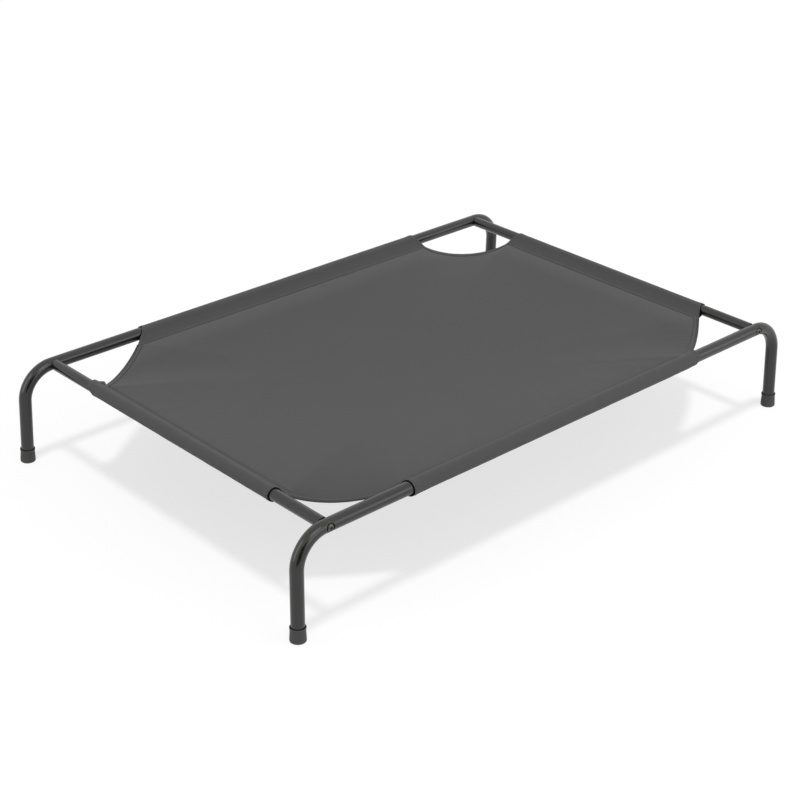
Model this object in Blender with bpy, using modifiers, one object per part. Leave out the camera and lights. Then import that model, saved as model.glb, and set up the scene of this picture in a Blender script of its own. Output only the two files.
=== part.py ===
"""Raised dog bed: a bolted frame of bent steel tube that holds a cloth sheet off the floor.

Metres, Z up. The origin is on the floor under the middle of the bed. X runs along the bed and Y across it.
Near is -Y, far is +Y, left is -X and right is +X.
"""

import math

import bmesh
import bpy
from mathutils import Matrix, Vector

# Frame, from tube axis to tube axis
SPAN_X = 1.300  # between the two legs of one side tube, at the top
SPAN_Y = 0.819  # between the two side tubes
TOP_Z = 0.1942  # axes of side tubes and end rails above the floor
BEND_R = 0.0633
RAIL_X = 0.5826  # end rails, either side of the middle
FLARE_X = math.radians(1.35)  # the legs lean outward along the bed
FLARE_Y = math.radians(2.12)  # each side tube leans outward across it

# Tubes
TUBE_R = 0.0125
TUBE_WALL = 0.0015
RAIL_R = 0.011
RAIL_WALL = 0.0012
SPIGOT = 0.060  # drawn-down end of a right side tube, inside the left one
SHOULDER = 0.005  # length over which it narrows
GAP = 0.0003  # between pieces that touch
TUBE_SIDES = 24
BEND_STEPS = 11

# Pressed seat for each bolt, measured out from the side tube's axis
SEAT_FLOOR = 0.0084
SEAT_R = 0.0085
SEAT_MOUTH_R = 0.0097
SEAT_WALL_R = 0.0112
HOLE_R = 0.0043

# M8 button head bolt with a 5 mm hexagon socket, and the nut plug it enters
HEAD_R = 0.007
HEAD_H = 0.0044
HEAD_TOP_R = 0.0036  # flat top, round the socket
HEAD_RIM_H = 0.0012  # straight rim under the dome
DOME_STEPS = 4
SHANK_R = 0.0037
SHANK_L = 0.045
SHANK_POINT = 0.001  # chamfer at the shank's tip
SOCKET_FLATS = 0.005
SOCKET_DEPTH = 0.0026
PLUG_R = 0.0094
PLUG_L = 0.015
PLUG_EDGE = 0.0008
PLUG_START = 0.0190  # from the side tube's axis, inward
PLUG_HOLE_R = SHANK_R + GAP
ROUND_STEPS = 20

# Saddle cut in the rail ends: a rounder cut than the side tube, which leaves a gap at top and bottom
SADDLE_R = 0.0149
SADDLE_SHIFT = 0.0021

# Rubber foot caps: a rim, a slight waist and a rounded base
CAP_H = 0.028
CAP_RIM_R = 0.0147
CAP_RIM_H = 0.0030
CAP_WAIST_R = 0.0141
CAP_WAIST_Z = 0.0205
CAP_BELLY_Z = 0.0084
CAP_BASE_R = 0.0149
CAP_FLOOR = 0.005
CAP_EDGE = 0.0025  # rounding at the base
LIP_R = 0.0139
LIP_DEPTH = 0.0015
SMALL_EDGE = 0.0005  # broken edges of bolt heads and cap rims

# Cloth
SHEET_T = 0.0010
SLEEVE_T = 0.0010
BINDING_T = 0.0008
PINCH = 0.0235  # from a tube's axis to where its sleeve closes on the sheet
LAP = 0.0090  # each sleeve laps this far over the sheet, above and below
SHEET_DROP = 0.0085  # the sheet's edge lies this far below the tube axes
SAG = 0.040  # and its middle hangs this much further down
FREE_EDGES = {  # at each corner: start on the end seam in Y, stop on the side seam in X, bow inward, droop
    "near_left": (0.279, 0.405, -0.0010, 0.0160),
    "near_right": (0.284, 0.400, -0.0040, 0.0090),
    "far_left": (0.275, 0.397, 0.0005, 0.0114),
    "far_right": (0.271, 0.398, 0.0034, 0.0204),
}
DROOP_EDGE = 0.8  # power of the droop's arch along a free edge: below 1 it is full, near 2 it is narrow
DROOP_INNER = 2.0
DROOP_FADE = 5  # power of the way out to the edge, with which the droop fades inward
SLEEVE_STOPS = {  # each sleeve's two ends along its tube, from the bed's middle
    "near": (-0.3945, 0.3895),
    "far": (-0.3800, 0.3860),
    "left": (-0.2720, 0.2690),
    "right": (-0.2770, 0.2585),
}
CLOSE_PAST = 0.001  # the sleeves close on the sheet this far inside its edge
SIDE_SLACK = 0.0022  # spare room under the tube in a long sleeve
END_SLACK = 0.0016
BINDING_W = 0.010
BINDING_END = 0.4  # share of a corner's first and last step that its binding leaves bare
SHEET_RINGS = (1.0, 0.9815, 0.90, 0.78, 0.64, 0.48, 0.32, 0.16)  # the second runs under the bindings' edges
END_STEPS = 5
CORNER_STEPS = 8
SIDE_STEPS = 6
WRAP_STEPS = 16
SIDE_SLEEVE_STEPS = 6
END_SLEEVE_STEPS = 5

SHEET_X = RAIL_X - PINCH
SHEET_Y = SPAN_Y / 2 - PINCH
CUT_PAST = 0.01  # cutters run at least this far past what they cut
SMOOTH_BELOW = math.radians(35)
MODEL = "raised_dog_bed"


def clear_scene():
    for obj in list(bpy.data.objects):
        bpy.data.objects.remove(obj, do_unlink=True)


def new_collection(name, hidden=False):
    collection = bpy.data.collections.new(name)
    collection.hide_render = hidden
    bpy.context.scene.collection.children.link(collection)
    return collection


def new_material(name, colour, roughness, metallic=0.0):
    material = bpy.data.materials.new(name)
    material.use_nodes = True
    shader = material.node_tree.nodes["Principled BSDF"]
    shader.inputs["Base Color"].default_value = (*colour, 1.0)
    shader.inputs["Roughness"].default_value = roughness
    shader.inputs["Metallic"].default_value = metallic
    material.diffuse_color = (*colour, 1.0)
    return material


def add_piece(name, mesh, material, matrix=None):
    """A visible piece of the bed."""
    mesh.name = name
    piece = bpy.data.objects.new(name, mesh)
    piece.matrix_world = matrix or Matrix()
    mesh.materials.clear()
    mesh.materials.append(material)
    mesh.shade_smooth()
    mesh.set_sharp_from_angle(angle=SMOOTH_BELOW)
    PIECES.objects.link(piece)
    return piece


def add_cutter(name, mesh, matrix):
    cutter = bpy.data.objects.new(name, mesh)
    cutter.matrix_world = matrix
    cutter.hide_render = True
    cutter.display_type = "WIRE"
    CUTTERS.objects.link(cutter)
    return cutter


def apply_boolean(piece, operation, other):
    modifier = piece.modifiers.new(f"{operation.lower()}_{other.name}", "BOOLEAN")
    modifier.operation = operation
    modifier.object = other
    modifier.solver = "EXACT"


def cone_mesh(name, low_r, high_r, low, high, sides):
    """A closed round or many-sided solid on local Z, from low to high."""
    mesh = bpy.data.meshes.new(name)
    bm = bmesh.new()
    middle = Matrix.Translation((0, 0, (low + high) / 2))
    bmesh.ops.create_cone(
        bm, cap_ends=True, segments=sides, radius1=low_r, radius2=high_r, depth=high - low, matrix=middle
    )
    bm.to_mesh(mesh)
    bm.free()
    return mesh


def turned_mesh(name, profile, closed):
    """The profile's points (radius, height), outer side first and from the top down."""
    mesh = bpy.data.meshes.new(name)
    count = len(profile)
    edges = [(i, i + 1) for i in range(count - 1)]
    if closed:
        edges.append((count - 1, 0))
    mesh.from_pydata([(radius, 0, height) for radius, height in profile], edges, [])
    return mesh


def turn(piece, steps):
    screw = piece.modifiers.new("turned", "SCREW")
    screw.axis = "Z"
    screw.steps = steps
    screw.render_steps = steps
    screw.use_merge_vertices = True
    screw.merge_threshold = 0.00001
    screw.use_smooth_shade = True


def pipe_mesh(name, points, radius, scales=None):
    """The outer skin of a tube along the points, open at both ends."""
    curve = bpy.data.curves.new(name, "CURVE")
    curve.dimensions = "3D"
    curve.bevel_depth = radius
    curve.bevel_resolution = (TUBE_SIDES - 4) // 2
    spline = curve.splines.new("POLY")
    spline.points.add(len(points) - 1)
    for i, point in enumerate(points):
        spline.points[i].co = (*point, 1.0)
        spline.points[i].radius = scales[i] if scales else 1.0
    guide = bpy.data.objects.new(name, curve)
    bpy.context.scene.collection.objects.link(guide)
    graph = bpy.context.evaluated_depsgraph_get()
    mesh = bpy.data.meshes.new_from_object(guide.evaluated_get(graph))
    bpy.data.objects.remove(guide, do_unlink=True)
    bpy.data.curves.remove(curve)
    return mesh


def add_wall(piece, thickness, offset):
    """Turns a skin into a wall, inward with an offset of -1 and outward with 1."""
    wall = piece.modifiers.new("wall", "SOLIDIFY")
    wall.thickness = thickness
    wall.offset = offset
    wall.use_even_offset = True


def frame_along(origin, up):
    """A frame at origin with its local Z along up."""
    return Matrix.Translation(origin) @ up.to_track_quat("Z", "Y").to_matrix().to_4x4()


def corner_name(end, side):
    return f"{'near' if side < 0 else 'far'}_{'left' if end < 0 else 'right'}"


def side_point(end, side, along, height):
    """A point on a side tube's own leaning plane."""
    out = SPAN_Y / 2 + (TOP_Z - height) * math.tan(FLARE_Y)
    return Vector((end * along, side * out, height))


def leg_point(end, side, height):
    """A point on the straight part of a leg's axis."""
    turn_angle = math.pi / 2 - FLARE_X
    along = SPAN_X / 2 - BEND_R + BEND_R * math.sin(turn_angle)
    start = TOP_Z - BEND_R + BEND_R * math.cos(turn_angle)
    return side_point(end, side, along + (start - height) * math.tan(FLARE_X), height)


def leg_frame(end, side):
    """Local Z runs up the leg's axis from the floor."""
    foot = leg_point(end, side, 0.0)
    return frame_along(foot, leg_point(end, side, 0.05) - foot)


def bolt_frame(end, side):
    """Local Z runs out of the bed along a bolt, from the side tube's axis."""
    return frame_along(Vector((end * RAIL_X, side * SPAN_Y / 2, TOP_Z)), Vector((0, side, 0)))


def side_tube_path(end, side):
    """From the foot up the leg, round the bend and along to the middle of the bed."""
    points = [leg_point(end, side, CAP_FLOOR + GAP)]
    for step in range(BEND_STEPS, -1, -1):
        angle = (math.pi / 2 - FLARE_X) * step / BEND_STEPS
        along = SPAN_X / 2 - BEND_R + BEND_R * math.sin(angle)
        points.append(side_point(end, side, along, TOP_Z - BEND_R + BEND_R * math.cos(angle)))
    scales = [1.0] * len(points)
    if end < 0:
        stops = ((GAP, 1.0),)
    else:
        narrow = (TUBE_R - TUBE_WALL - GAP) / TUBE_R
        stops = ((SHOULDER, 1.0), (GAP, narrow), (-SPIGOT, narrow))
    for along, scale in stops:
        points.append(side_point(end, side, along, TOP_Z))
        scales.append(scale)
    return points, scales


def seat_cutters():
    """Shared meshes for a bolt's pressed seat, on local Z out from the side tube's axis."""
    floor_under = SEAT_FLOOR - TUBE_WALL
    past = TUBE_R + CUT_PAST
    in_wall = TUBE_R - TUBE_WALL / 3
    flare = (SEAT_MOUTH_R - SEAT_R) / (TUBE_R - SEAT_FLOOR)
    mouth_r = SEAT_R + flare * (past - SEAT_FLOOR)
    return {
        "boss": cone_mesh("seat_boss", SEAT_WALL_R, SEAT_WALL_R, floor_under, past, TUBE_SIDES),
        "recess": cone_mesh("seat_recess", SEAT_R, mouth_r, SEAT_FLOOR, past, TUBE_SIDES),
        "hole": cone_mesh("bolt_hole", HOLE_R, HOLE_R, -past, past, ROUND_STEPS),
        "trim": cone_mesh("boss_trim", in_wall, in_wall, -past, past, TUBE_SIDES),
    }


def make_side_tubes(steel):
    """Four bent tubes, each a leg and half of one long side."""
    shared = seat_cutters()
    for side in (-1, 1):
        for end in (-1, 1):
            name = corner_name(end, side)
            points, scales = side_tube_path(end, side)
            tube = add_piece(f"side_tube_{name}", pipe_mesh(name, points, TUBE_R, scales), steel)
            add_wall(tube, TUBE_WALL, -1)
            frame = bolt_frame(end, side)
            boss = add_cutter(f"seat_boss_{name}", shared["boss"], frame)
            along = frame_along(frame.translation, Vector((1, 0, 0)))
            apply_boolean(boss, "INTERSECT", add_cutter(f"boss_trim_{name}", shared["trim"], along))
            apply_boolean(tube, "UNION", boss)
            apply_boolean(tube, "DIFFERENCE", add_cutter(f"seat_recess_{name}", shared["recess"], frame))
            apply_boolean(tube, "DIFFERENCE", add_cutter(f"bolt_hole_{name}", shared["hole"], frame))


def make_end_rails(steel):
    """Two cross tubes, their ends cut to a saddle against the side tubes."""
    past = RAIL_R + CUT_PAST
    saddle = cone_mesh("saddle", SADDLE_R, SADDLE_R, -past, past, 2 * TUBE_SIDES)
    for end in (-1, 1):
        name = "left" if end < 0 else "right"
        points = [Vector((end * RAIL_X, side * SPAN_Y / 2, TOP_Z)) for side in (-1, 1)]
        rail = add_piece(f"end_rail_{name}", pipe_mesh(name, points, RAIL_R), steel)
        add_wall(rail, RAIL_WALL, -1)
        for side in (-1, 1):
            centre = Vector((end * RAIL_X, side * (SPAN_Y / 2 + SADDLE_SHIFT), TOP_Z))
            across = frame_along(centre, Vector((1, 0, 0)))
            cutter = add_cutter(f"saddle_{corner_name(end, side)}", saddle, across)
            apply_boolean(rail, "DIFFERENCE", cutter)


def bolt_profile():
    """Domed head, underside and shank with a pointed start."""
    profile = [(0.0, HEAD_H), (HEAD_TOP_R, HEAD_H)]
    for step in range(1, DOME_STEPS + 1):
        angle = math.pi / 2 * step / DOME_STEPS
        radius = HEAD_TOP_R + (HEAD_R - HEAD_TOP_R) * math.sin(angle)
        profile.append((radius, HEAD_RIM_H + (HEAD_H - HEAD_RIM_H) * math.cos(angle)))
    profile += [(HEAD_R - SMALL_EDGE, 0.0), (SHANK_R, 0.0), (SHANK_R, SHANK_POINT - SHANK_L)]
    return profile + [(SHANK_R - SHANK_POINT, -SHANK_L), (0.0, -SHANK_L)]


def make_bolts(zinc):
    """Button head bolts from outside through the side tube into the rail, their sockets showing."""
    shape = turned_mesh("frame_bolt", bolt_profile(), closed=False)
    corner_r = SOCKET_FLATS / 2 / math.cos(math.pi / 6)
    socket = cone_mesh("hex_socket", corner_r, corner_r, HEAD_H - SOCKET_DEPTH, HEAD_H + CUT_PAST, 6)
    for side in (-1, 1):
        for end in (-1, 1):
            name = corner_name(end, side)
            frame = bolt_frame(end, side) @ Matrix.Translation((0, 0, SEAT_FLOOR + GAP))
            bolt = add_piece(f"frame_bolt_{name}", shape.copy(), zinc, frame)
            turn(bolt, ROUND_STEPS)
            apply_boolean(bolt, "DIFFERENCE", add_cutter(f"hex_socket_{name}", socket, frame))


def make_nut_plugs(steel):
    """Threaded plugs pressed into the rail ends, which the bolts pull against the side tubes."""
    profile = [
        (PLUG_R - PLUG_EDGE, PLUG_L),
        (PLUG_R, PLUG_L - PLUG_EDGE),
        (PLUG_R, PLUG_EDGE),
        (PLUG_R - PLUG_EDGE, 0.0),
        (PLUG_HOLE_R, 0.0),
        (PLUG_HOLE_R, PLUG_L),
    ]
    shape = turned_mesh("nut_plug", profile, closed=True)
    for side in (-1, 1):
        for end in (-1, 1):
            frame = bolt_frame(end, side) @ Matrix.Translation((0, 0, -PLUG_START - PLUG_L))
            plug = add_piece(f"nut_plug_{corner_name(end, side)}", shape.copy(), steel, frame)
            turn(plug, ROUND_STEPS)


def cap_profile():
    """Rim, waist, base and the bore that takes the tube's end. What is below zero is cut off at the floor."""
    bore = TUBE_R + GAP
    return [
        (CAP_RIM_R - SMALL_EDGE, CAP_H),
        (CAP_RIM_R, CAP_H - SMALL_EDGE),
        (CAP_RIM_R, CAP_H - CAP_RIM_H),
        (CAP_WAIST_R, CAP_WAIST_Z),
        (CAP_BASE_R, CAP_BELLY_Z),
        (CAP_BASE_R, CAP_EDGE),
        (CAP_BASE_R - CAP_EDGE / 3, CAP_EDGE / 3),
        (CAP_BASE_R - CAP_EDGE, -CAP_EDGE / 3),
        (0.0, -CAP_EDGE),
        (0.0, CAP_FLOOR),
        (bore, CAP_FLOOR),
        (bore, CAP_H - LIP_DEPTH),
        (LIP_R, CAP_H),
    ]


def make_foot_caps(rubber):
    """Rubber cups pushed onto the legs, cut level with the floor."""
    shape = turned_mesh("foot_cap", cap_profile(), closed=True)
    wide = 2 * (CAP_BASE_R + CUT_PAST)
    floor = cone_mesh("floor_cut", wide, wide, -CUT_PAST, 0.0, 4)
    for side in (-1, 1):
        for end in (-1, 1):
            name = corner_name(end, side)
            cap = add_piece(f"foot_cap_{name}", shape.copy(), rubber, leg_frame(end, side))
            turn(cap, TUBE_SIDES)
            under = Matrix.Translation(leg_point(end, side, 0.0))
            apply_boolean(cap, "DIFFERENCE", add_cutter(f"floor_cut_{name}", floor, under))


def bowl_height(x, y):
    """The sheet's middle surface, level at its sewn edges and low in the middle, before its corners droop."""
    across = max(1 - (x / SHEET_X) ** 2, 0.0)
    along = max(1 - (y / SHEET_Y) ** 2, 0.0)
    return TOP_Z - SHEET_DROP - SAG * across * along


def corner_droop(part, depth, ring):
    """How far a free edge at part of its length, and the sheet inside it, hangs below the bowl.

    It is the same over the binding's width and fades from there to the middle.
    """
    out = min(ring / SHEET_RINGS[1], 1.0)
    power = DROOP_INNER + (DROOP_EDGE - DROOP_INNER) * out**4
    return depth * max(4 * part * (1 - part), 0.0) ** power * out**DROOP_FADE


def sheet_point(edge, ring):
    """A point of the sheet's middle surface, at ring times the way out from the middle to its edge."""
    point, part, depth = edge
    inside = min(ring, 1.0)
    height = bowl_height(point.x * inside, point.y * inside) - corner_droop(part, depth, inside)
    return Vector((point.x * ring, point.y * ring, height))


def corner_edge(end, side, part):
    """A point along a corner's free edge, part running from 0 to 1, with that part and the edge's droop."""
    start_y, stop_x, bow, depth = FREE_EDGES[corner_name(end, side)]
    start = Vector((SHEET_X, start_y))
    chord = Vector((stop_x, SHEET_Y)) - start
    inward = Vector((-chord.y, chord.x)).normalized()
    point = start + chord * part + inward * bow * 4 * part * (1 - part)
    return Vector((end * point.x, side * point.y)), part, depth


def quarter_outline(end, side):
    """One quarter of the sheet's outline, from the end's middle to the side's."""
    start_y, stop_x, _, _ = FREE_EDGES[corner_name(end, side)]
    outline = []
    for i in range(END_STEPS):
        outline.append((Vector((end * SHEET_X, side * start_y * i / END_STEPS)), 0.0, 0.0))
    outline += [corner_edge(end, side, i / CORNER_STEPS) for i in range(CORNER_STEPS + 1)]
    for i in range(1, SIDE_STEPS + 1):
        outline.append((Vector((end * stop_x * (1 - i / SIDE_STEPS), side * SHEET_Y)), 0.0, 0.0))
    return outline


def sheet_outline():
    """The whole outline, anticlockwise from the right end's middle, without doubled points on the axes."""
    whole = []
    for end, side in ((1, 1), (-1, 1), (-1, -1), (1, -1)):
        quarter = quarter_outline(end, side)
        if end * side < 0:
            quarter.reverse()
        whole += quarter[:-1]
    return whole


def make_sheet(cloth):
    """Rings of the outline drawn in to the middle, then given the cloth's thickness."""
    outline = sheet_outline()
    mesh = bpy.data.meshes.new("sheet_panel")
    bm = bmesh.new()
    rings = [[bm.verts.new(sheet_point(edge, ring)) for edge in outline] for ring in SHEET_RINGS]
    middle = bm.verts.new((0, 0, bowl_height(0, 0)))
    count = len(outline)
    for outer, inner in zip(rings, rings[1:]):
        for i in range(count):
            j = (i + 1) % count
            bm.faces.new((outer[i], outer[j], inner[j]))
            bm.faces.new((outer[i], inner[j], inner[i]))
    for i in range(count):
        bm.faces.new((rings[-1][i], rings[-1][(i + 1) % count], middle))
    bm.to_mesh(mesh)
    bm.free()
    panel = add_piece("sheet_panel", mesh, cloth)
    add_wall(panel, SHEET_T, 0)


def sleeve_profile(radius, slack, close_up, tail_up):
    """Inner face of a sleeve as (inward, up) from its tube's axis: lap, round the tube, lap.

    close_up and tail_up are the sheet's heights where the sleeve closes on it and where its laps end.
    """
    half = SHEET_T / 2 + GAP
    loop_r = radius + GAP + slack / 2
    centre = Vector((0.0, -slack / 2))
    upper = Vector((PINCH + CLOSE_PAST, close_up + half))
    lower = Vector((PINCH + CLOSE_PAST, close_up - half))

    def tangent_angle(point, turn_way):
        away = point - centre
        return math.atan2(away.y, away.x) + turn_way * math.acos(loop_r / away.length)

    first = tangent_angle(upper, 1)
    last = tangent_angle(lower, -1) + 2 * math.pi
    wrap = []
    for step in range(WRAP_STEPS + 1):
        angle = first + (last - first) * step / WRAP_STEPS
        wrap.append(centre + loop_r * Vector((math.cos(angle), math.sin(angle))))
    tail = PINCH + LAP
    return [Vector((tail, tail_up + half)), upper, *wrap, lower, Vector((tail, tail_up - half))]


def make_sleeve(name, cloth, tube, axis_point, inward, stops, steps):
    """A cloth strip folded round a tube, with both of its edges lapping the sheet."""
    radius, slack = tube
    along = inward.cross(Vector((0, 0, 1)))
    way = along.x + along.y
    first, last = sorted(way * stop for stop in stops)
    mesh = bpy.data.meshes.new(name)
    bm = bmesh.new()
    rows = []
    for i in range(steps + 1):
        place = axis_point + along * (first + (last - first) * i / steps)
        closes = place + inward * (PINCH + CLOSE_PAST)
        tail = place + inward * (PINCH + LAP)
        close_up = bowl_height(closes.x, closes.y) - TOP_Z
        tail_up = bowl_height(tail.x, tail.y) - TOP_Z
        profile = sleeve_profile(radius, slack, close_up, tail_up)
        rows.append([bm.verts.new(place + inward * p.x + Vector((0, 0, p.y))) for p in profile])
    for one, two in zip(rows, rows[1:]):
        for i in range(len(one) - 1):
            bm.faces.new((one[i], one[i + 1], two[i + 1], two[i]))
    bm.normal_update()
    bm.to_mesh(mesh)
    bm.free()
    sleeve = add_piece(name, mesh, cloth)
    add_wall(sleeve, SLEEVE_T, 1)


def make_sleeves(cloth):
    side_tube = (TUBE_R, SIDE_SLACK)
    end_rail = (RAIL_R, END_SLACK)
    for sign, word in ((-1, "near"), (1, "far")):
        axis = Vector((0, sign * SPAN_Y / 2, TOP_Z))
        inward = Vector((0, -sign, 0))
        stops = SLEEVE_STOPS[word]
        make_sleeve(f"side_sleeve_{word}", cloth, side_tube, axis, inward, stops, SIDE_SLEEVE_STEPS)
    for sign, word in ((-1, "left"), (1, "right")):
        axis = Vector((sign * RAIL_X, 0, TOP_Z))
        inward = Vector((-sign, 0, 0))
        stops = SLEEVE_STOPS[word]
        make_sleeve(f"end_sleeve_{word}", cloth, end_rail, axis, inward, stops, END_SLEEVE_STEPS)


def binding_section():
    """A folded tape's section as (inward from the sheet's edge, up from its middle surface)."""
    slot = SHEET_T / 2 + GAP
    outer = slot + BINDING_T
    return [
        (-GAP - BINDING_T, outer),
        (-GAP - BINDING_T, -outer),
        (BINDING_W, -outer),
        (BINDING_W, -slot),
        (-GAP, -slot),
        (-GAP, slot),
        (BINDING_W, slot),
        (BINDING_W, outer),
    ]


def binding_rows(end, side):
    """Sections of one corner's tape at the sheet's own steps, in the order of the sheet's outline.

    The first and the last are drawn in along the edge.
    """
    start_y, stop_x, _, _ = FREE_EDGES[corner_name(end, side)]
    start = Vector((SHEET_X, start_y))
    stop = Vector((stop_x, SHEET_Y))
    reach = abs(start.cross(stop)) / (stop - start).length
    rows = []
    for i in range(CORNER_STEPS + 1):
        edge = corner_edge(end, side, i / CORNER_STEPS)
        row = []
        for inward, up in binding_section():
            row.append(sheet_point(edge, 1 - inward / reach) + Vector((0, 0, up)))
        rows.append(row)
    rows[0] = [one.lerp(two, BINDING_END) for one, two in zip(rows[0], rows[1])]
    rows[-1] = [one.lerp(two, BINDING_END) for one, two in zip(rows[-1], rows[-2])]
    return rows if end * side > 0 else rows[::-1]


def tape_triangles(one, two):
    """Faces between two sections, split along the same diagonals as the sheet inside the tape."""
    section = binding_section()
    triangles = []
    for i in range(len(section)):
        j = (i + 1) % len(section)
        if section[i][0] < section[j][0]:
            triangles += [(one[i], one[j], two[j]), (one[i], two[j], two[i])]
        else:
            triangles += [(one[i], one[j], two[i]), (one[j], two[j], two[i])]
    return triangles


def make_bindings(cloth):
    """Tape folded over the sheet's free edge at each corner."""
    for side in (-1, 1):
        for end in (-1, 1):
            mesh = bpy.data.meshes.new("corner_binding")
            bm = bmesh.new()
            rows = [[bm.verts.new(point) for point in row] for row in binding_rows(end, side)]
            for one, two in zip(rows, rows[1:]):
                for triangle in tape_triangles(one, two):
                    bm.faces.new(triangle)
            bm.faces.new(rows[0])
            bm.faces.new(rows[-1])
            bmesh.ops.recalc_face_normals(bm, faces=bm.faces)
            bm.to_mesh(mesh)
            bm.free()
            add_piece(f"corner_binding_{corner_name(end, side)}", mesh, cloth)


clear_scene()
PIECES = new_collection(MODEL)
CUTTERS = new_collection("cutters", hidden=True)
POWDER_COAT = new_material("powder_coat", (0.060, 0.058, 0.055), 0.38)
BLACK_ZINC = new_material("black_zinc", (0.045, 0.043, 0.040), 0.35, 0.8)
RUBBER = new_material("rubber", (0.055, 0.055, 0.053), 0.75)
SHEET_CLOTH = new_material("sheet_cloth", (0.100, 0.100, 0.100), 0.85)
SLEEVE_CLOTH = new_material("sleeve_cloth", (0.080, 0.080, 0.080), 0.85)
make_side_tubes(POWDER_COAT)
make_end_rails(POWDER_COAT)
make_bolts(BLACK_ZINC)
make_nut_plugs(BLACK_ZINC)
make_foot_caps(RUBBER)
make_sheet(SHEET_CLOTH)
make_sleeves(SLEEVE_CLOTH)
make_bindings(SHEET_CLOTH)
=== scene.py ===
# The raised dog bed's looks: smooth tubes, bolts and caps, woven cloth with its seams, light and camera.
# Metres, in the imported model's frame: X along the bed, Y across it, Z up, origin on the floor under the bed.

import math
from contextlib import contextmanager

import bmesh
import bpy
import numpy as np
from mathutils import Matrix, Vector, noise


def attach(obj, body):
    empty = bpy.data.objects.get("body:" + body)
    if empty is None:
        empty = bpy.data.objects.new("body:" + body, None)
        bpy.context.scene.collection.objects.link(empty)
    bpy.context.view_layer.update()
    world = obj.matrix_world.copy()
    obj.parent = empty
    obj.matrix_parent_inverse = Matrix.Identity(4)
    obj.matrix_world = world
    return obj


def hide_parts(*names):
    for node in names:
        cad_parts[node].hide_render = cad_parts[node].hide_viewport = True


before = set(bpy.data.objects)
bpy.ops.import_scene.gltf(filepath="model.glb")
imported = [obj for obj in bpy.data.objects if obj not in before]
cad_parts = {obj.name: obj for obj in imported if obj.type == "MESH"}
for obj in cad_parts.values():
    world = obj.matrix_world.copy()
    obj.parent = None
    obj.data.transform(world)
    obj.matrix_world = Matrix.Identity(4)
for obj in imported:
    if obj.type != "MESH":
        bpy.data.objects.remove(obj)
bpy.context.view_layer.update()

# Frame, from tube axis to tube axis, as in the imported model
SPAN_X = 1.300
SPAN_Y = 0.819
TOP_Z = 0.1942
BEND_R = 0.0633
RAIL_X = 0.5826
FLARE_X = math.radians(1.35)
FLARE_Y = math.radians(2.12)
STRAIGHT = SPAN_X / 2 - BEND_R  # level part of a side tube's axis, from the bed's middle
SWEEP = math.pi / 2 - FLARE_X  # angle through which its bend turns
TUBE_R = 0.0125
TUBE_WALL = 0.0015
RAIL_R = 0.011
RAIL_WALL = 0.0012
SPIGOT = 0.060
SHOULDER = 0.005
GAP = 0.0003  # between pieces that touch
SADDLE_R = 0.022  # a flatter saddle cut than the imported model's, with the same middle
SADDLE_SHIFT = 0.0092

# Pressed seats and bolts
SEAT_FLOOR = 0.0084
SEAT_R = 0.0085
SEAT_MOUTH_R = 0.0099
HOLE_R = 0.0043
HEAD_R = 0.007
HEAD_H = 0.0044
HEAD_TOP_R = 0.0036
HEAD_RIM_H = 0.0012
SHANK_R = 0.0037
SHANK_L = 0.045
SHANK_POINT = 0.001
SOCKET_FLATS = 0.005
SOCKET_DEPTH = 0.0026
SOCKET_TURNS = {"near_left": 12, "near_right": 41, "far_left": 27, "far_right": 5}  # degrees, as tightened

# Rubber foot caps
CAP_H = 0.028
CAP_PLUG_H = 0.020  # up to here the cap's inside isn't open
CAP_RIM_R = 0.0147
CAP_WAIST_R = 0.0141
CAP_BASE_R = 0.0149
CAP_EDGE = 0.0028  # rounding at the base
CAP_FLOOR = 0.005

# Cloth
SHEET_T = 0.0010
SLEEVE_T = 0.0009
TAPE_T = 0.0007
PINCH = 0.0235
LAP = 0.0076
LAP_START = 0.001  # a sleeve lies flat from this far inside the sheet's edge
LAP_TAPER = ((0, 0.25), (1, 0.8), (-2, 0.8), (-1, 0.25))  # a sleeve's columns, and how thick each is
SEAM_ROWS = (0.0020, 0.0056)  # of stitches, from a lap's edge
SEAM_MARGIN = 0.012  # from a lap's end to its first stitch
ARCH_MARGIN = 0.009  # and this much more at an end that stands up in an arch
SHEET_DROP = 0.0085
SAG = 0.040
END_STEPS = 40  # along half an end seam
SIDE_STEPS = 60  # along half a side seam, and along a free edge
CORNERS = {  # free edge: start from the bed's middle in Y, stop in X, bow inward, droop
    (-1, -1): (0.279, 0.405, -0.0010, 0.0160),
    (1, -1): (0.284, 0.400, -0.0050, 0.0090),
    (-1, 1): (0.275, 0.397, 0.0005, 0.0114),
    (1, 1): (0.271, 0.398, 0.0034, 0.0204),
}
DROOP_EDGE = 0.8  # power of the droop's arch along a free edge, and further in
DROOP_INNER = 2.0
DROOP_FADE = 5  # power of the way out to the edge, with which the droop fades inward
DROOP_RING = 0.9815  # the droop is level outside this share of the way to the sheet's edge
SIDE_SLACK = 0.0022
END_SLACK = 0.0016
HEM_ROWS = (0.0022, 0.0080)  # of stitches, from a hem's edge
HEM_PUFF = (0.00034, 0.0019)  # height and width of the swelling between a hem's two rows
HEM_DIP = (0.00022, 0.0008)  # depth and width of the groove along each row
TAPE_PUFF = (0.00030, 0.0017)
TAPE_DIP = (0.00028, 0.0007)
TAPE_W = 0.010
TAPE_PAINTED_BANDS = (  # painted shade and painted highlight on the tape, from its inner edge: middle, where the band starts to fade and ends, strength, tone
    (0.0118, 0.0052, 0.0066, 0.85, "dark"),
    (0.0036, 0.0008, 0.0020, 0.70, "pale"),
    (0.0000, 0.0008, 0.0018, 0.90, "dark"),
)
SHEET_X = RAIL_X - PINCH
SHEET_Y = SPAN_Y / 2 - PINCH
THREAD_PITCH = 0.0007  # of the weave
STITCH_PITCH = 0.0034
STITCH_L = 0.0026
STITCH_R = 0.00028
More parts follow.
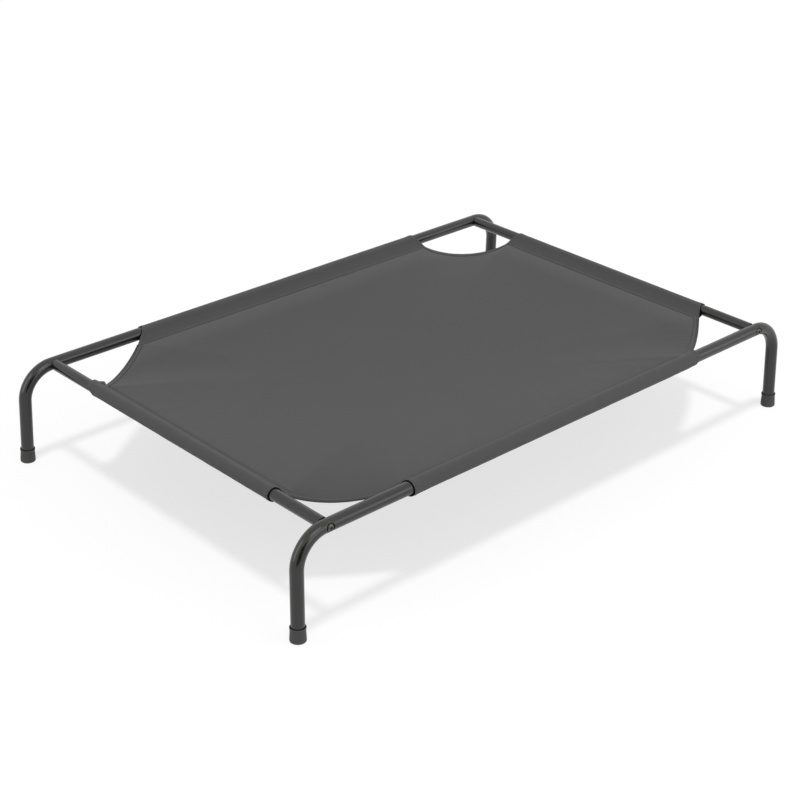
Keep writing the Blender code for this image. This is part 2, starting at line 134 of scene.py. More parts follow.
ARCH_IN = (0.0, 0.0093, 0.0245, 0.0385)  # the top of an open sleeve end, inward from its rail's axis
ARCH_UP = (0.0125, 0.0100, -0.0030, -0.0075)  # and up from there
FLAT_MAP = "flat"  # each piece's own unrolled coordinates, in metres

# Light, as the brightness that it gives a white surface
SKY = 0.41
SKY_SEEN = 1.0
SUN = 0.54
SUN_WIDTH = 9.0  # degrees across
SUN_FROM = (-133, 81.6, 3.0)  # degrees turned from +X and lifted from the floor, and distance
BOX_AWAY = 4.0  # from the bed to each softbox
FLOOR_GLOW = 0.71  # the floor's own light, where it is seen
FLOOR_KEPT = 0.31  # and its share of the lamps' light there, which holds the shadow


# Small tools

def corner_name(end, side):
    return f"{'near' if side < 0 else 'far'}_{'left' if end < 0 else 'right'}"


def smooth_step(value):
    value = np.clip(value, 0.0, 1.0)
    return value * value * (3 - 2 * value)


def wobble(x, y=0.0, z=0.0):
    """Smooth noise from -1 to 1, the same on each run."""
    flat = np.broadcast_arrays(np.asarray(x, float), np.asarray(y, float), np.asarray(z, float))
    values = [noise.noise(Vector(point)) for point in zip(*(part.ravel() for part in flat))]
    return np.array(values).reshape(flat[0].shape)


def unit(rows):
    return rows / np.linalg.norm(rows, axis=-1, keepdims=True)


def lengths(line):
    """The length along a line of points, at each of them."""
    return np.concatenate([[0], np.cumsum(np.linalg.norm(np.diff(line, axis=0), axis=-1))])


def unrolled(one, two):
    """Flat coordinates for a grid of points, from what can be spread over it."""
    return np.stack(np.broadcast_arrays(one, two), axis=-1)


def grid_object(name, points, flat, wrap=False, flip=False, keep=None):
    """Quads through points[row][column], with flat[row][column] as their unrolled coordinates in metres.

    With wrap, the last column joins the first, and flat has one column more.
    """
    rows, columns = points.shape[:2]
    index = np.arange(rows * columns).reshape(rows, columns)
    after = np.roll(index, -1, axis=1) if wrap else index[:, 1:]
    here = index if wrap else index[:, :-1]
    order = [(here, 0, 0), (after, 0, 1), (after, 1, 1), (here, 1, 0)]
    if flip:
        order.reverse()
    faces = np.stack([part[row : row + rows - 1] for part, row, _ in order], axis=-1)
    width = here.shape[1]
    corners = np.stack(
        [flat[row : row + rows - 1, column : column + width] for _, row, column in order], axis=-2
    )
    if keep is not None:
        faces = faces[keep]
        corners = corners[keep]
    faces = faces.reshape(-1, 4)
    mesh = bpy.data.meshes.new(name)
    mesh.from_pydata(points.reshape(-1, 3).tolist(), [], faces.tolist())
    return smooth_object(name, mesh, corners)


def smooth_object(name, mesh, corners):
    layer = mesh.uv_layers.new(name=FLAT_MAP)
    layer.uv.foreach_set("vector", corners.reshape(-1).astype(np.float32))
    mesh.shade_smooth()
    return add_object(name, mesh)


def add_object(name, data):
    made = bpy.data.objects.new(name, data)
    bpy.context.scene.collection.objects.link(made)
    return made


@contextmanager
def edited(mesh):
    """The mesh as one that can be edited, written back afterwards."""
    bm = bmesh.new()
    bm.from_mesh(mesh)
    yield bm
    bm.to_mesh(mesh)
    bm.free()


def add_wall(piece, thickness, offset):
    wall = piece.modifiers.new("wall", "SOLIDIFY")
    wall.thickness = thickness
    wall.offset = offset
    wall.use_even_offset = True
    return wall


def thin_edges(piece, wall, rows, columns):
    """Has the cloth's wall taper to its first and last columns, as a pressed hem does."""
    group = piece.vertex_groups.new(name="wall")
    index = np.arange(rows * columns).reshape(rows, columns)
    group.add(index.ravel().tolist(), 1.0, "REPLACE")
    for column, weight in LAP_TAPER:
        group.add(index[:, column].tolist(), weight, "REPLACE")
    wall.vertex_group = group.name


def drop_loose(mesh):
    """Takes out points that no face uses."""
    with edited(mesh) as bm:
        loose = [vert for vert in bm.verts if not vert.link_faces]
        bmesh.ops.delete(bm, geom=loose, context="VERTS")


def dress(piece, material, slot, *nodes):
    """Gives a piece its material, and has it ride on the frame in place of any CAD nodes named."""
    piece.data.materials.clear()
    piece.data.materials.append(material)
    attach(piece, "root")
    if nodes:
        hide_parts(*nodes)
    return piece


# Materials

class Nodes:
    """A node tree, with short ways to add nodes to it."""

    def __init__(self, tree):
        self.tree = tree

    def add(self, kind, options=None, **inputs):
        """Adds a node. Its inputs go by their names, or by i and their number."""
        made = self.tree.nodes.new(kind)
        for key, value in (options or {}).items():
            setattr(made, key, value)
        for key, value in inputs.items():
            self.plug(made.inputs[int(key[1:])] if key[1:].isdigit() else made.inputs[key], value)
        return made

    def plug(self, socket, value):
        if isinstance(value, bpy.types.NodeSocket):
            self.tree.links.new(value, socket)
        else:
            socket.default_value = value

    def math(self, operation, first, second=0.0, third=0.0):
        made = self.add("ShaderNodeMath", {"operation": operation}, i0=first, i1=second, i2=third)
        return made.outputs[0]

    def times(self, first, second):
        return self.math("MULTIPLY", first, second)

    def plus(self, first, second):
        return self.math("ADD", first, second)

    def vector(self, operation, *values):
        numbered = {f"i{place}": value for place, value in enumerate(values)}
        return self.add("ShaderNodeVectorMath", {"operation": operation}, **numbered).outputs[0]

    def split(self, where):
        return self.add("ShaderNodeSeparateXYZ", Vector=where).outputs

    def blend(self, factor, first, second):
        return self.add("ShaderNodeMix", {"data_type": "FLOAT"}, i0=factor, i2=first, i3=second).outputs[0]

    def tint(self, factor, first, second):
        mix = self.add("ShaderNodeMix", {"data_type": "RGBA"}, i0=factor)
        self.plug(mix.inputs[6], first)
        self.plug(mix.inputs[7], second)
        return mix.outputs[2]

    def flat(self):
        return self.add("ShaderNodeUVMap", {"uv_map": FLAT_MAP}).outputs[0]

    def place(self):
        return self.add("ShaderNodeTexCoord").outputs["Object"]

    def noise(self, where, scale, detail=2.0, roughness=0.5):
        made = self.add("ShaderNodeTexNoise", Vector=where, Scale=scale, Detail=detail, Roughness=roughness)
        return made.outputs["Fac"]

    def stretch(self, where, x, y, z=1.0):
        return self.add("ShaderNodeMapping", Vector=where, Scale=(x, y, z)).outputs[0]

    def spread(self, value, low, high, to_low, to_high):
        return self.add("ShaderNodeMapRange", i0=value, i1=low, i2=high, i3=to_low, i4=to_high).outputs[0]

    def bump(self, height, distance, strength):
        return self.add("ShaderNodeBump", Height=height, Distance=distance, Strength=strength).outputs[0]

    def seen(self, mirrored=1.0):
        """1 for what the camera sees, and this much for what the gloss mirrors."""
        path = self.add("ShaderNodeLightPath").outputs
        seen = self.math("MAXIMUM", path["Is Camera Ray"], self.times(path["Is Glossy Ray"], mirrored))
        return self.math("MAXIMUM", path["Is Transmission Ray"], seen)


class Shader(Nodes):
    """A new material and its node tree."""

    def __init__(self, name):
        self.material = bpy.data.materials.new(name)
        self.material.use_nodes = True
        super().__init__(self.material.node_tree)

    def set(self, **values):
        """Sets the surface's values, and returns the material."""
        surface = self.tree.nodes["Principled BSDF"]
        for key, value in values.items():
            self.plug(surface.inputs[key.replace("_", " ")], value)
        return self.material


def grey(level, warm=0.0):
    """A grey in linear light, with a little more red than blue where it is warm."""
    return (level * (1 + warm), level, level * (1 - warm), 1.0)


def powder_coat():
    """Charcoal powder coat: semi-gloss, with a fine orange peel and faint lengthwise streaks."""
    made = Shader("powder_coat")
    flat = made.flat()
    place = made.place()
    peel = made.noise(place, 900.0)
    speck = made.noise(place, 2600.0, 1.0)
    streak = made.noise(made.stretch(flat, 420.0, 9.0), 1.0, 3.0, 0.6)
    cloud = made.noise(place, 14.0, 3.0)
    shade = made.spread(made.plus(made.times(streak, 0.5), cloud), 0.45, 1.05, 0.0, 1.0)
    colour = made.tint(shade, grey(0.0100, 0.07), grey(0.0145, 0.07))
    flake = made.spread(speck, 0.70, 0.82, 0.0, 0.25)
    seat = pressed_paint(made, flat)
    dusty = grey(0.060, 0.04)
    colour = made.tint(made.times(seat, 0.4), colour, dusty)
    gloss = made.spread(made.plus(streak, cloud), 0.6, 1.4, 0.11, 0.19)
    return made.set(
        Base_Color=made.tint(flake, colour, dusty),
        Roughness=made.blend(seat, gloss, 0.45),
        IOR=1.57,
        Normal=made.bump(made.plus(peel, made.times(streak, 0.35)), 0.00006, 0.55),
    )


def pressed_paint(made, flat):
    """1 in the bolts' pressed seats, where the coat is thick and dull, and 0 on the rest of the tubes."""
    parts = made.split(flat)
    turn = made.math("SINE", made.math("DIVIDE", parts["X"], TUBE_R))
    across = made.times(turn, TUBE_R)
    along = made.math("SUBTRACT", parts["Y"], RAIL_X)
    squares = [made.times(part, part) for part in (across, along)]
    away = made.math("SQRT", made.plus(*squares))
    fade = 0.0007
    return made.spread(away, SEAT_MOUTH_R, SEAT_MOUTH_R + fade, 1.0, 0.0)


def black_zinc():
    """Satin black zinc on the bolts, a little rubbed where a key and the seat touch them."""
    made = Shader("black_zinc")
    place = made.place()
    cloud = made.noise(place, 260.0, 4.0, 0.6)
    grain = made.noise(place, 2200.0)
    worn = made.spread(cloud, 0.50, 0.72, 0.0, 1.0)
    return made.set(
        Base_Color=made.tint(worn, grey(0.090, 0.05), grey(0.170, 0.06)),
        Metallic=0.85,
        Roughness=made.spread(grain, 0.3, 0.7, 0.16, 0.27),
        Normal=made.bump(grain, 0.00004, 0.4),
    )


def plug_steel():
    """Turned steel of the plugs inside the rails."""
    made = Shader("plug_steel")
    ring = made.noise(made.stretch(made.place(), 300.0, 4000.0, 300.0), 1.0)
    return made.set(
        Base_Color=made.tint(ring, grey(0.30), grey(0.42)),
        Metallic=1.0,
        Roughness=made.spread(ring, 0.3, 0.7, 0.25, 0.4),
        Normal=made.bump(ring, 0.00004, 0.5),
    )


def foot_rubber():
    """Matt moulded rubber with a faint grain and a few dusty places near the floor."""
    made = Shader("foot_rubber")
    place = made.place()
    grain = made.noise(place, 1500.0, 3.0, 0.6)
    cloud = made.noise(made.stretch(place, 90.0, 90.0, 28.0), 1.0, 3.0)
    height = made.split(place)["Z"]
    low = made.spread(made.plus(height, made.times(cloud, 0.006)), 0.003, 0.010, 1.0, 0.0)
    colour = made.tint(cloud, grey(0.038, 0.02), grey(0.062, 0.02))
    return made.set(
        Base_Color=made.tint(made.times(low, 0.25), colour, grey(0.085, 0.03)),
        Roughness=made.spread(grain, 0.3, 0.7, 0.55, 0.72),
        Normal=made.bump(grain, 0.00008, 0.5),
    )


def woven(name, light, dark, pitch=THREAD_PITCH, painted_seam_light=False, painted_tape_bands=False):
    """A plain weave: threads that pass over and under each other, uneven from one thread to the next.

    A cloth with painted seam light is darker just inside the laps of its near and left seams, a painted shade,
    and paler along its far and right seams, a painted highlight. A cloth with painted tape bands has a folded
    tape's bands of painted shade and painted highlight.
    """
    made = Shader(name)
    flat = made.flat()
    drift = made.add("ShaderNodeTexNoise", {"noise_dimensions": "2D"}, Vector=flat, Scale=45.0, Detail=2.0)
    centred = made.vector("SUBTRACT", drift.outputs["Color"], (0.5, 0.5, 0.5))
    moved = made.vector("MULTIPLY_ADD", centred, (0.0006, 0.0006, 0.0), flat)
    parts = made.split(moved)
    turns = [made.times(parts[axis], math.pi / pitch) for axis in ("X", "Y")]
    ridges = [made.math("ABSOLUTE", made.math("SINE", turn)) for turn in turns]
    lifted = made.vector("ADD", moved, (0.0, 0.0, pitch / 2))
    over = made.add("ShaderNodeTexChecker", Vector=lifted, Scale=1 / pitch).outputs["Fac"]
    rise = [made.math("MULTIPLY_ADD", other, 0.55, 0.45) for other in reversed(ridges)]
    warp, weft = (made.times(*pair) for pair in zip(ridges, rise))
    height = made.blend(over, warp, weft)
    warp_tone = made.noise(made.stretch(moved, 0.5 / pitch, 14.0), 1.0)
    weft_tone = made.noise(made.stretch(moved, 14.0, 0.5 / pitch), 1.0)
    tone = made.blend(over, warp_tone, weft_tone)
    cloud = made.noise(flat, 9.0, 4.0, 0.6)
    slub = made.noise(flat, 330.0, 1.0)
    level = 0.5
    for part, strength in ((tone, 0.9), (cloud, 0.48), (slub, 0.9)):
        level = made.math("MULTIPLY_ADD", made.math("SUBTRACT", part, 0.5), strength, level)
    threads = made.tint(level, grey(light * 0.88), grey(light * 1.12))
    # pale is the colour of the painted highlights on the seams and the tape
    pale = grey(light * 1.42)
    if painted_seam_light:
        # painted highlight along the far and right seams, and painted shade just inside the near and left laps
        threads = made.tint(painted_seam_share(made, flat, 1, (-0.055, -0.006, 0.0, 1.0)), threads, pale)
        threads = made.tint(painted_seam_share(made, flat, -1, (-0.0095, -0.0050, 0.0, 0.8)), threads, grey(dark))
    if painted_tape_bands:
        girth = made.split(flat)["Y"]
        # each band is painted shade (dark) or a painted highlight (pale) over the tape's threads
        for middle, near, far, share, band in TAPE_PAINTED_BANDS:
            away = made.math("ABSOLUTE", made.math("SUBTRACT", girth, middle))
            shade = pale if band == "pale" else grey(dark)
            threads = made.tint(made.spread(away, near, far, share, 0.0), threads, shade)
    return made.set(
        Base_Color=made.tint(made.spread(height, 0.05, 0.55, 0.0, 1.0), grey(dark), threads),
        Roughness=made.spread(tone, 0.3, 0.7, 0.78, 0.92),
        Sheen_Weight=0.12,
        Sheen_Roughness=0.5,
        Normal=made.bump(made.plus(height, made.times(tone, 0.4)), 0.00016, 0.6),
    )


def painted_seam_share(made, flat, side, ramp):
    """A share that rises towards the laps at the far and right, or with side -1 at the near and left, which
    places the seams' painted highlight and painted shade.

    ramp holds two distances out from the laps' edges, and the shares there.
    """
    parts = made.split(flat)
    shares = []
    for axis, reach in (("X", SHEET_X - LAP), ("Y", SHEET_Y - LAP)):
        out = made.math("MULTIPLY_ADD", parts[axis], float(side), -reach)
        shares.append(made.spread(out, *ramp))
    return made.math("MAXIMUM", *shares)


def thread(name, level):
    """Polyester sewing thread, twisted."""
    made = Shader(name)
    diagonal = {"bands_direction": "DIAGONAL"}
    wave = made.add("ShaderNodeTexWave", diagonal, Vector=made.flat(), Scale=900.0, Distortion=0.4)
    twist = wave.outputs["Fac"]
    tone = made.tint(made.noise(made.place(), 60.0), grey(level * 0.85), grey(level * 1.15))
    return made.set(
        Base_Color=made.tint(twist, grey(level * 0.5), tone),
        Roughness=0.55,
        Sheen_Weight=0.1,
        Normal=made.bump(twist, 0.00006, 0.6),
    )


# Side tubes, rails, bolts and caps

def side_path(along):
    """Reach along the bed, height and slope of a side tube's axis, by length from the bed's middle."""
    angle = np.clip((along - STRAIGHT) / BEND_R, 0.0, SWEEP)
    leg = np.maximum(along - STRAIGHT - BEND_R * SWEEP, 0.0)
    level = np.minimum(along, STRAIGHT)
    reach = level + BEND_R * np.sin(angle) + leg * math.cos(SWEEP)
    height = TOP_Z - BEND_R * (1 - np.cos(angle)) - leg * math.sin(SWEEP)
    return reach, height, angle


def side_tube_steps(end):
    """Lengths along the axis at which a side tube has a ring: close at the bolt's seat and in the bend."""
    bent = STRAIGHT + BEND_R * SWEEP
    seat = 0.0145
    lead = 0.001
    drop = (TOP_Z - BEND_R * (1 - math.sin(FLARE_X)) - CAP_FLOOR - GAP) / math.cos(FLARE_X)
    start = [-SPIGOT, -SPIGOT + lead, GAP - lead, GAP, SHOULDER / 2, SHOULDER, SHOULDER + lead]
    if end < 0:
        start = [GAP, GAP + lead]
    parts = [
        start,
        np.linspace(0.02, RAIL_X - seat, 24)[:-1],
        np.arange(RAIL_X - seat, RAIL_X + seat, 0.00045),
        np.linspace(RAIL_X + seat, bent, 36)[:-1],
        bent + np.array([0.0, 0.002, 0.02, 0.04, 0.06, 0.08, drop - lead, drop]),
    ]
    return np.concatenate(parts)


def press_seat(points, rail_x, side):
    """Pushes the tube's outer wall in to the flat round seat of the bolt."""
    out = side * points[..., 1] - SPAN_Y / 2
    away = np.hypot(points[..., 0] - rail_x, points[..., 2] - TOP_Z)
    rise = smooth_step((away - SEAT_R) / (SEAT_MOUTH_R - SEAT_R))
    seat = SEAT_FLOOR + (TUBE_R * 1.15 - SEAT_FLOOR) * rise
    soft = 0.00022
    pressed = -soft * np.logaddexp(-out / soft, -seat / soft)
    near = (away < 2 * SEAT_R) & (out > 0)
    points[..., 1] = np.where(near, side * (SPAN_Y / 2 + pressed), points[..., 1])


def make_side_tube(end, side, material):
    columns = 96
    name = corner_name(end, side)
    along = side_tube_steps(end)
    reach, height, angle = side_path(along)
    lean = math.tan(FLARE_Y)
    axis = np.stack([end * reach, side * (SPAN_Y / 2 + (TOP_Z - height) * lean), height], axis=-1)
    out = np.array([0.0, side * math.cos(FLARE_Y), math.sin(FLARE_Y)])
    top = np.stack([end * np.sin(angle), -side * lean * np.cos(angle), np.cos(angle)], axis=-1)
    top = unit(top - (top @ out)[:, None] * out)
    radius = np.full(len(along), TUBE_R)
    if end > 0:
        inner = TUBE_R - TUBE_WALL - GAP
        radius = inner + (TUBE_R - inner) * np.clip((along - GAP) / (SHOULDER - GAP), 0.0, 1.0)
    turn = np.linspace(0, 2 * math.pi, columns + 1)
    ring = np.cos(turn[:-1])[None, :, None] * out + np.sin(turn[:-1])[None, :, None] * top[:, None, :]
    points = axis[:, None, :] + ring * radius[:, None, None]
    press_seat(points, end * RAIL_X, side)
    flat = unrolled(turn * TUBE_R, along[:, None])
    pairs = points + np.roll(points, -1, axis=1)
    middles = (pairs[:-1] + pairs[1:]) / 4
    keep = np.hypot(middles[..., 0] - end * RAIL_X, middles[..., 2] - TOP_Z) > HOLE_R
    tube = grid_object(f"tube_{name}", points, flat, wrap=True, flip=end * side < 0, keep=keep)
    drop_loose(tube.data)
    add_wall(tube, TUBE_WALL, -1)
    dress(tube, material, "powder_coat", f"side_tube_{name}")


def make_rail(end, material):
    columns = 64
    turn = np.linspace(0, 2 * math.pi, columns + 1)
    ring_x = RAIL_R * np.cos(turn[:-1])
    ring_z = RAIL_R * np.sin(turn[:-1])
    reach = SPAN_Y / 2 + SADDLE_SHIFT - np.sqrt(SADDLE_R**2 - ring_z**2)
    tip = np.array([0.97, 0.99, 0.998, 1.0])
    share = np.concatenate([-tip[::-1], np.linspace(-0.9, 0.9, 10), tip])
    points = np.empty((len(share), columns, 3))
    points[..., 0] = end * RAIL_X + ring_x
    points[..., 1] = share[:, None] * reach
    points[..., 2] = TOP_Z + ring_z
    flat = unrolled(turn * RAIL_R, share[:, None] * SPAN_Y / 2)
    word = "left" if end < 0 else "right"
    rail = grid_object(f"rail_{word}", points, flat, wrap=True, flip=True)
    add_wall(rail, RAIL_WALL, -1)
    dress(rail, material, "powder_coat", f"end_rail_{word}")


def turned_object(name, profile, columns, place, radii=None):
    """A closed body turned round local Z from (radius, height) pairs, and cut off at the floor.

    radii replaces the radius of chosen rings by one for each column.
    """
    turn = np.linspace(0, 2 * math.pi, columns + 1)
    radius = np.array([[wide] * columns for wide, _ in profile])
    for ring, values in (radii or {}).items():
        radius[ring] = values
    points = np.empty((len(profile), columns, 3))
    points[..., 0] = radius * np.cos(turn[:-1])
    points[..., 1] = radius * np.sin(turn[:-1])
    points[..., 2] = np.array([high for _, high in profile])[:, None]
    widest = max(wide for wide, _ in profile)
    flat = unrolled(turn * widest, lengths(profile)[:, None])
    matrix = np.array(place)
    points = points @ matrix[:3, :3].T + matrix[:3, 3]
    points[..., 2] = np.maximum(points[..., 2], 0.0)
    made = grid_object(name, points, flat, wrap=True)
    close_ends(made.data, columns, len(profile))
    return made


def close_ends(mesh, columns, rows):
    """Flat faces over the first and the last ring."""
    with edited(mesh) as bm:
        bm.verts.ensure_lookup_table()
        for first in (0, (rows - 1) * columns):
            bm.faces.new(bm.verts[first : first + columns])
        bmesh.ops.recalc_face_normals(bm, faces=bm.faces)
    mesh.shade_smooth()
    mesh.set_sharp_from_angle(angle=math.radians(38))


def frame_along(origin, up):
    return Matrix.Translation(origin) @ Vector(up).to_track_quat("Z", "Y").to_matrix().to_4x4()


def make_bolt(end, side, material):
    columns = 48
    name = corner_name(end, side)
    turn = np.linspace(0, 2 * math.pi, columns, endpoint=False)
    from_flat = np.mod(turn + math.pi / 6, math.pi / 3) - math.pi / 6
    socket_r = SOCKET_FLATS / 2
    hexagon = socket_r / np.cos(from_flat)
    edge = 0.0003
    deep = HEAD_H - SOCKET_DEPTH
    profile = [(0.0008, deep - 0.0006), (0.002, deep), (socket_r - 0.0001, deep)]
    profile += [(socket_r, deep + edge / 2), (socket_r, HEAD_H - edge), (socket_r + 0.0002, HEAD_H)]
    profile += [(HEAD_TOP_R, HEAD_H)]
    radii = {2: hexagon * 0.95, 3: hexagon, 4: hexagon, 5: hexagon + edge}
    for angle in np.linspace(0, math.pi / 2, 11)[1:]:
        radius = HEAD_TOP_R + (HEAD_R - HEAD_TOP_R) * math.sin(angle)
        profile.append((radius, HEAD_RIM_H + (HEAD_H - HEAD_RIM_H) * math.cos(angle)))
    profile += [(HEAD_R, edge), (HEAD_R - edge, 0.0), (SHANK_R + edge, 0.0), (SHANK_R, -edge)]
    profile += [(SHANK_R, SHANK_POINT - SHANK_L), (SHANK_R - SHANK_POINT, -SHANK_L)]
    seat = Vector((end * RAIL_X, side * (SPAN_Y / 2 + SEAT_FLOOR + GAP), TOP_Z))
    spin = Matrix.Rotation(math.radians(SOCKET_TURNS[name]), 4, "Z")
    place = frame_along(seat, (0, side, 0)) @ spin
    bolt = turned_object(f"bolt_{name}", profile, columns, place, radii)
    dress(bolt, material, "bolt_finish", f"frame_bolt_{name}")


def leg_axis(end, side):
    """Foot of a leg's axis on the floor, and the direction up it."""
    reach = STRAIGHT + BEND_R * math.sin(SWEEP)
    height = TOP_Z - BEND_R * (1 - math.cos(SWEEP))

    def at(z):
        x = end * (reach + (height - z) * math.tan(FLARE_X))
        y = side * (SPAN_Y / 2 + (TOP_Z - z) * math.tan(FLARE_Y))
        return Vector((x, y, z))

    return at(0.0), at(0.05) - at(0.0)


def make_cap(end, side, material):
    columns = 72
    name = corner_name(end, side)
    bore = TUBE_R + GAP
    mouth = [(bore, 0.0018), (bore + 0.0008, 0.0004), (bore + 0.0012, 0.0)]
    rim = [(CAP_RIM_R - 0.0005, 0.0), (CAP_RIM_R - 0.0001, 0.0003), (CAP_RIM_R, 0.0009), (CAP_RIM_R, 0.0026)]
    step_in = [(CAP_RIM_R - 0.0002, 0.0034), (CAP_WAIST_R, 0.0046)]
    profile = [(bore, CAP_PLUG_H)] + [(radius, CAP_H - down) for radius, down in mouth + rim + step_in]
    profile += [(CAP_WAIST_R - 0.0001, 0.0205), (CAP_WAIST_R + 0.0003, 0.0130)]
    profile += [(CAP_BASE_R - 0.0001, 0.0075), (CAP_BASE_R, 0.0045)]
    base_z = 0.0022
    for angle in np.linspace(0, math.pi / 2, 7):
        radius = CAP_BASE_R - CAP_EDGE * (1 - math.cos(angle))
        profile.append((radius, base_z - CAP_EDGE * math.sin(angle)))
    cap = turned_object(f"cap_{name}", profile, columns, frame_along(*leg_axis(end, side)))
    dress(cap, material, "foot_rubber", f"foot_cap_{name}")


# Cloth

def corner_line(end, side):
    """Start, chord and inward direction of a corner's free edge, taken to the +X +Y quarter."""
    start_y, stop_x, _, _ = CORNERS[end, side]
    start = np.array([SHEET_X, start_y])
    chord = np.array([stop_x, SHEET_Y]) - start
    inward = np.array([-chord[1], chord[0]]) / np.hypot(*chord)
    return start, chord, inward


def corner_edge(end, side, part):
    """Points along a corner's free edge, and the unit vectors from them towards the sheet's middle."""
    start, chord, inward = corner_line(end, side)
    bow = CORNERS[end, side][2]
    part = np.asarray(part, float)
    points = start + part[:, None] * chord + (bow * 4 * part * (1 - part))[:, None] * inward
    along = unit(chord + (bow * 4 * (1 - 2 * part))[:, None] * inward)
    mirror = np.array([end, side])
    return points * mirror, np.stack([-along[:, 1], along[:, 0]], axis=-1) * mirror


def sheet_place(x, y):
    """How far out a point lies, as a share of the way to the edge, and the free edge's droop there."""
    x, y = np.broadcast_arrays(np.asarray(x, float), np.asarray(y, float))
    share = np.maximum(np.abs(x) / SHEET_X, np.abs(y) / SHEET_Y)
    droop = np.zeros_like(share)
    for (end, side), (_, _, bow, depth) in CORNERS.items():
        here = (x * end >= 0) & (y * side >= 0)
        if not here.any():
            continue
        start, chord, inward = corner_line(end, side)
        away = np.abs(np.stack([x[here], y[here]], axis=-1))
        reach = -start @ inward
        across = -away @ inward
        out = across / reach
        for _ in range(8):  # rounds, in which the share settles
            safe = np.maximum(out, 1e-6)[:, None]
            part = np.clip(((away / safe - start) @ chord) / (chord @ chord), 0.0, 1.0)
            out = across / (reach - bow * 4 * part * (1 - part))
        corner = out > share[here]
        ring = np.minimum(np.maximum(out, share[here]), 1.0)
        hem = np.minimum(ring / DROOP_RING, 1.0)
        power = DROOP_INNER - (DROOP_INNER - DROOP_EDGE) * hem**4
        arch = np.maximum(4 * part * (1 - part), 1e-9) ** power
        droop[here] = np.where(corner, depth * arch * hem**DROOP_FADE, 0.0)
        share[here] = np.maximum(out, share[here])
    return share, droop


def sheet_z(x, y):
    """Height of the sheet's middle surface."""
    _, droop = sheet_place(x, y)
    bowl = np.maximum(1 - (x / SHEET_X) ** 2, 0.0) * np.maximum(1 - (y / SHEET_Y) ** 2, 0.0)
    return TOP_Z - SHEET_DROP - SAG * bowl - droop


def sheet_outline():
    """Points round the sheet's edge, counterclockwise from the middle of its right end."""
    quarters = []
    for end, side in ((1, 1), (-1, 1), (-1, -1), (1, -1)):
        start_y, stop_x, _, _ = CORNERS[end, side]
        corner, _ = corner_edge(end, side, np.linspace(0, 1, SIDE_STEPS + 1))
        end_y = np.linspace(0, start_y, END_STEPS + 1)[:-1] * side
        side_x = np.linspace(stop_x, 0, SIDE_STEPS + 1)[1:] * end
        end_seam = np.stack([np.full_like(end_y, end * SHEET_X), end_y], axis=-1)
        side_seam = np.stack([side_x, np.full_like(side_x, side * SHEET_Y)], axis=-1)
        quarter = np.concatenate([end_seam, corner, side_seam])
        quarters.append((quarter if end * side > 0 else quarter[::-1])[:-1])
    return np.concatenate(quarters)


def make_sheet(material):
    outline = sheet_outline()
    band = 0.09  # the finer rings by the edge, as a share of the way in
    ring = 1 - np.concatenate([np.arange(0, band, 0.0035), np.linspace(band, 0.97, 46)])
    x = ring[:, None] * outline[:, 0]
    y = ring[:, None] * outline[:, 1]
    points = np.stack([x, y, sheet_z(x, y) + sheet_detail(x, y)], axis=-1)
    flat = np.stack([x, y], axis=-1)
    flat = np.concatenate([flat, flat[:, :1]], axis=1)
    sheet = grid_object("sheet", points, flat, wrap=True)
    close_middle(sheet.data, len(outline), len(ring))
    add_wall(sheet, SHEET_T, 0)
    dress(sheet, material, "sheet_cloth", "sheet_panel")
    return sheet, outline


def close_middle(mesh, columns, rows):
    """Joins the innermost ring at one point in the middle."""
    origin = np.zeros(1)
    height = sheet_z(origin, origin) + sheet_detail(origin, origin)
    with edited(mesh) as bm:
        layer = bm.loops.layers.uv[FLAT_MAP]
        bm.verts.ensure_lookup_table()
        ring = bm.verts[(rows - 1) * columns : rows * columns]
        middle = bm.verts.new((0, 0, height[0]))
        for here, after in zip(ring, ring[1:] + ring[:1]):
            face = bm.faces.new((here, after, middle))
            face.smooth = True
            for loop in face.loops:
                loop[layer].uv = loop.vert.co.xy
        bmesh.ops.recalc_face_normals(bm, faces=bm.faces)


def sheet_detail(x, y):
    """Small puckers beside the sewn edges and soft waves in the middle."""
    ring, droop = sheet_place(x, y)
    deep = (1 - ring) * SHEET_Y
    clear = smooth_step((deep - 0.006) / 0.010)
    free = smooth_step(droop / 0.004)
    along = np.arctan2(y, x)
    fine = wobble(along * 70, deep * 25, 3.0)
    broad = wobble(x * 5, y * 5, 7.0)
    folds = wobble(along * 24, ring * 2.0, 11.0)
    pucker = 0.0008 * fine * np.exp(-deep / 0.022) * (0.4 + 0.6 * free)
    return clear * (pucker + 0.0004 * folds * np.minimum(ring, 1.0) ** 4) + 0.0006 * broad * (1 - ring**4)


def sleeve_loop(radius, slack):
    """The loop's radius and centre, and the angles at which it leaves for the upper and the lower lap."""
    loop_r = radius + GAP + slack / 2
    centre_z = -slack / 2
    angles = []
    for way in (1, -1):
        dx = PINCH + LAP_START
        dz = way * (SHEET_T / 2 + GAP) - SHEET_DROP - centre_z
        angles.append(math.atan2(dz, dx) + way * math.acos(loop_r / math.hypot(dx, dz)))
    return loop_r, centre_z, angles[0], angles[1] + 2 * math.pi


